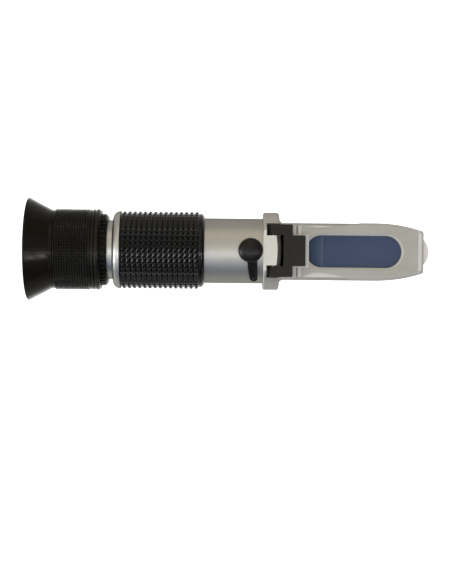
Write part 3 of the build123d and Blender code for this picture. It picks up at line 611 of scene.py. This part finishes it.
def rubber_plug():
    """Domed plug with its pull tab, which hangs down the barrel's side: one soft moulding."""
    low, high = node_box("calibration_plug")
    screw_low, screw_high = node_box("calibration_screw")
    barrel_r = node_box("barrel")[1].y
    centre_x = (screw_low.x + screw_high.x) / 2
    dome_r = centre_x - low.x + 0.12
    edge_z = barrel_r - 0.1
    under_z = edge_z - 0.5
    rise, steps = high.z - edge_z, 14
    # the dome is flatter than half a ball, so its edge turns down more sharply than its top
    dome = []
    for k in range(steps):
        t = math.pi / 2 * k / steps
        dome.append((dome_r * math.sin(t) ** 0.92, edge_z + rise * math.cos(t) ** 0.8))
    dome += [(dome_r, edge_z), (dome_r - 0.05, edge_z - 0.45), (3.2, under_z), (0, under_z)]
    stem_r, stem_end_z = 2.9, 9.9
    stem = [(0, edge_z), (stem_r, edge_z), (stem_r, stem_end_z + 0.3), (stem_r - 0.2, stem_end_z),
            (0, stem_end_z)]
    points, faces = [], []
    add_turned_body(points, faces, centre_x, dome, 64)
    add_turned_body(points, faces, centre_x, stem, 48)
    add_pull_tab(points, faces, centre_x, barrel_r)
    piece = add_object("calibration_dome", mesh_from("calibration_dome", points, faces))
    merge = piece.modifiers.new("blend", "REMESH")
    merge.mode = "VOXEL"
    merge.voxel_size = 0.1 * MM
    soften = piece.modifiers.new("soften", "SMOOTH")
    soften.factor = 0.5
    soften.iterations = 3
    apply_modifiers(piece)
    for face in piece.data.polygons:
        face.use_smooth = True
    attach(piece, "calibration_plug")
    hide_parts("calibration_plug")
    return piece


# ---- Finishes -----------------------------------------------------------------------------------

def paint(shader, *pieces):
    for piece in pieces:
        piece.data.materials.clear()
        piece.data.materials.append(shader.material)


def paint_nodes(shader, *names):
    paint(shader, *(nodes[name] for name in names))


def plate_finish():
    """The daylight plate's material, placed from the ends of the bracket's tongue and of the plate."""
    nose_length, window_to_nose = 1.8, 8.9
    tongue_x = node_box("hinge_bracket")[1].x
    nose_x = node_box("daylight_plate")[1].x - nose_length
    window_x = (tongue_x + 0.3, nose_x - window_to_nose)
    frame_x, lip_x = tongue_x + 1.4, nose_x - 1.3
    groove_x = (tongue_x - 3.5, tongue_x - 2.9)
    return frosted_plate("plate_frost", window_x, frame_x, groove_x, lip_x, nose_x)


def paint_all():
    grip, knurl, plug = rubber_grip(), focus_knurl(), rubber_plug()
    paint(glossy_black("grip_gloss", roughness=0.17, scuffs=0.12), grip)
    paint(glossy_black("plug_gloss", roughness=0.36, scuffs=0.04), plug)
    paint(knurl_rubber("knurl_rubber", node_box("knurled_sleeve")[1].y - KNURL_INSET), knurl)
    cup = rubber("cup_rubber", (0.0085, 0.0070, 0.0050), 0.17, grain_mm=0.25, grain_depth_mm=0.0015)
    paint_nodes(cup, "eyecup")
    moulded = rubber("moulded_black", (0.0050, 0.0043, 0.0036), 0.3, grain_mm=0.3, grain_depth_mm=0.004)
    paint_nodes(moulded, "focus_body", "eyepiece_cap")
    paint_nodes(satin_metal("barrel_satin", (0.63, 0.615, 0.585), 0.46), "barrel")
    paint_nodes(satin_metal("collar_satin", (0.72, 0.71, 0.69), 0.38, grain=(1, 8, 8)),
                "rear_collar", "rear_neck")
    # painted shade darkens the gap between the knuckle and the bracket's bar, below the bar
    bar_x = node_box("daylight_plate")[0].x
    gap_x = (bar_x - 1.7, bar_x + 0.2)
    paint_nodes(head_metal("head_satin", gap_x, WINDOW_HALF, PLATE_TOP_Z), "prism_head")
    paint_nodes(textured_black("bracket_enamel", (0.016, 0.0138, 0.0112), 0.42), "hinge_bracket")
    paint_nodes(plate_finish(), "daylight_plate")
    paint_nodes(prism_glass("prism_blue", PRISM_BEVEL_X), "main_prism")
    seal = rubber("seal_black", (0.01, 0.01, 0.01), 0.5, grain_mm=0.2, grain_depth_mm=0.01)
    paint_nodes(seal, "prism_gasket", "head_seal")
    paint_nodes(satin_metal("steel_bright", (0.6, 0.6, 0.6), 0.22),
                "hinge_pin", "guide_key", "bimetal_screw", "return_spring")
    paint_nodes(yellow_metal("screw_brass", (0.62, 0.44, 0.19)), "calibration_screw", "calibration_bush")
    paint_nodes(yellow_metal("strip_bimetal", (0.5, 0.42, 0.3)), "bimetal_strip")
    paint_nodes(clear_glass("lens_clear", (0.93, 0.97, 0.99)),
                "eye_lens", "field_lens", "objective_lens", "reticle")
    paint_nodes(blackened("tube_blackened"),
                "eyepiece_tube", "lens_spacer", "lens_retainer", "reticle_cell", "reticle_retainer",
                "light_baffle", "objective_carrier", "objective_cell", "objective_retainer")


# ---- Stage, in metres ---------------------------------------------------------------------------

def floor():
    """Plain pale floor, well below the part so that it takes no shadow, as if the part lay on clear glass.

    It glows a little round the point under the camera and fades to a plain pale grey further out.
    """
    drop, reach, glow = 0.38, 30.0, 0.8
    fade_from, fade_to, narrowing = 0.204, 0.33, 1.28
    level = cad_low.z - drop
    corners = [(-reach, -reach, level), (reach, -reach, level), (reach, reach, level), (-reach, reach, level)]
    mesh = bpy.data.meshes.new("floor")
    mesh.from_pydata(corners, [], [(0, 1, 2, 3)])
    piece = add_object("floor", mesh, smooth=False)
    s = Shader("floor_white", (0.93, 0.93, 0.93), 0.9)
    white = s.blend(s.noise(60, 3), (0.92, 0.92, 0.92), (0.94, 0.94, 0.94))
    x, y, _ = s.split()
    across = s.math("ABSOLUTE", s.math("SUBTRACT", x, EYE_X))
    along = s.math("ABSOLUTE", s.math("SUBTRACT", y, EYE_Y))
    away = s.math("MAXIMUM", s.math("MULTIPLY", across, narrowing), along)
    fade = s.spread(away, 0, 1, fade_from, fade_to)
    s.drive("Base Color", s.blend(fade, white, (0.8, 0.79, 0.77)))
    s.set("Emission Color", (1, 1, 1, 1))
    s.drive("Emission Strength", s.spread(fade, glow, 0.0, 0, 1))
    paint(s, piece)


def softbox(name, aim, direction, distance, size, energy, color):
    """Rectangular area light, distance away from aim along direction, facing it.

    Its first size is along X.
    """
    light = bpy.data.lights.new(name, "AREA")
    light.shape = "RECTANGLE"
    light.size, light.size_y = size
    light.energy = energy
    light.color = color
    lamp = bpy.data.objects.new(name, light)
    bpy.context.scene.collection.objects.link(lamp)
    away = Vector(direction).normalized()
    lamp.location = aim + away * distance
    lamp.rotation_euler = away.to_track_quat("Z", "Y").to_euler()


def surroundings():
    """Pale world that darkens towards -Y and towards +X."""
    world = bpy.data.worlds.new("studio")
    world.use_nodes = True
    bpy.context.scene.world = world
    tree = world.node_tree
    background = tree.nodes["Background"]
    split = tree.nodes.new("ShaderNodeSeparateXYZ")
    tree.links.new(tree.nodes.new("ShaderNodeTexCoord").outputs["Generated"], split.inputs[0])
    x, y, z = split.outputs
    # the ramp's positions run from 0 at -Y through 0.5 at the zenith to 1 at +Y
    turn = math_node(tree, "MULTIPLY_ADD", math_node(tree, "ARCTAN2", y, z), 1 / math.pi, 0.5)
    ramp = tree.nodes.new("ShaderNodeValToRGB")
    tree.links.new(turn, ramp.inputs["Fac"])
    stops = (
        (0.0, (0.07, 0.085, 0.11)), (0.12, (0.10, 0.125, 0.17)), (0.24, (0.42, 0.47, 0.56)),
        (0.37, (0.68, 0.70, 0.71)), (0.5, (0.66, 0.64, 0.58)), (0.64, (0.68, 0.65, 0.55)),
        (0.83, (0.46, 0.41, 0.33)), (1.0, (0.34, 0.31, 0.27)),
    )
    elements = ramp.color_ramp.elements
    while len(elements) < len(stops):
        elements.new(0.5)
    for element, (position, color) in zip(elements, stops):
        element.position = position
        element.color = (*color, 1)
    tree.links.new(ramp.outputs["Color"], background.inputs["Color"])
    darkening = 0.75
    towards_x = math_node(tree, "MAXIMUM", x, 0.0)
    fade = math_node(tree, "MULTIPLY_ADD", towards_x, -darkening, 1.0)
    tree.links.new(fade, background.inputs["Strength"])


def lights():
    """A long tube over the whole object, two softboxes, and a small one that shines on the eyecup's flare."""
    middle = Vector(((cad_low.x + cad_high.x) / 2, 0, 0))
    flare = Vector((0.006, -0.004, 0.018))
    softbox("long_tube", middle + Vector((0.35, 0, 0)), direction=(0, -0.235, 1.0), distance=1.0,
            size=(3.4, 0.05), energy=3.8, color=(1.0, 1.0, 1.0))
    softbox("key_left", middle, direction=(-1.0, -0.23, 0.16), distance=0.9,
            size=(0.34, 0.42), energy=3.4, color=(0.95, 0.97, 1.0))
    softbox("spot_right", flare, direction=(0.74, -0.30, 0.60), distance=1.0,
            size=(0.20, 0.06), energy=0.42, color=(1.0, 0.95, 0.9))
    softbox("fill_back", middle, direction=(0.1, 1.0, 0.6), distance=1.0,
            size=(0.6, 0.6), energy=0.5, color=(1.0, 0.95, 0.86))


def camera():
    """Looks straight down from beside the axis, towards -Y, turned so that the nose points slightly down."""
    height, view_height = 0.600, 0.2313
    sensor_mm, turned_deg = 36, 0.6
    lens = bpy.data.cameras.new("camera")
    lens.sensor_width = sensor_mm
    lens.lens = sensor_mm * height / view_height
    eye = bpy.data.objects.new("camera", lens)
    bpy.context.scene.collection.objects.link(eye)
    eye.location = (EYE_X, EYE_Y, height)
    eye.rotation_euler = (0, 0, math.radians(turned_deg))
    bpy.context.scene.camera = eye


paint_all()
floor()
surroundings()
lights()
camera()
bpy.context.scene.view_settings.view_transform = "Standard"
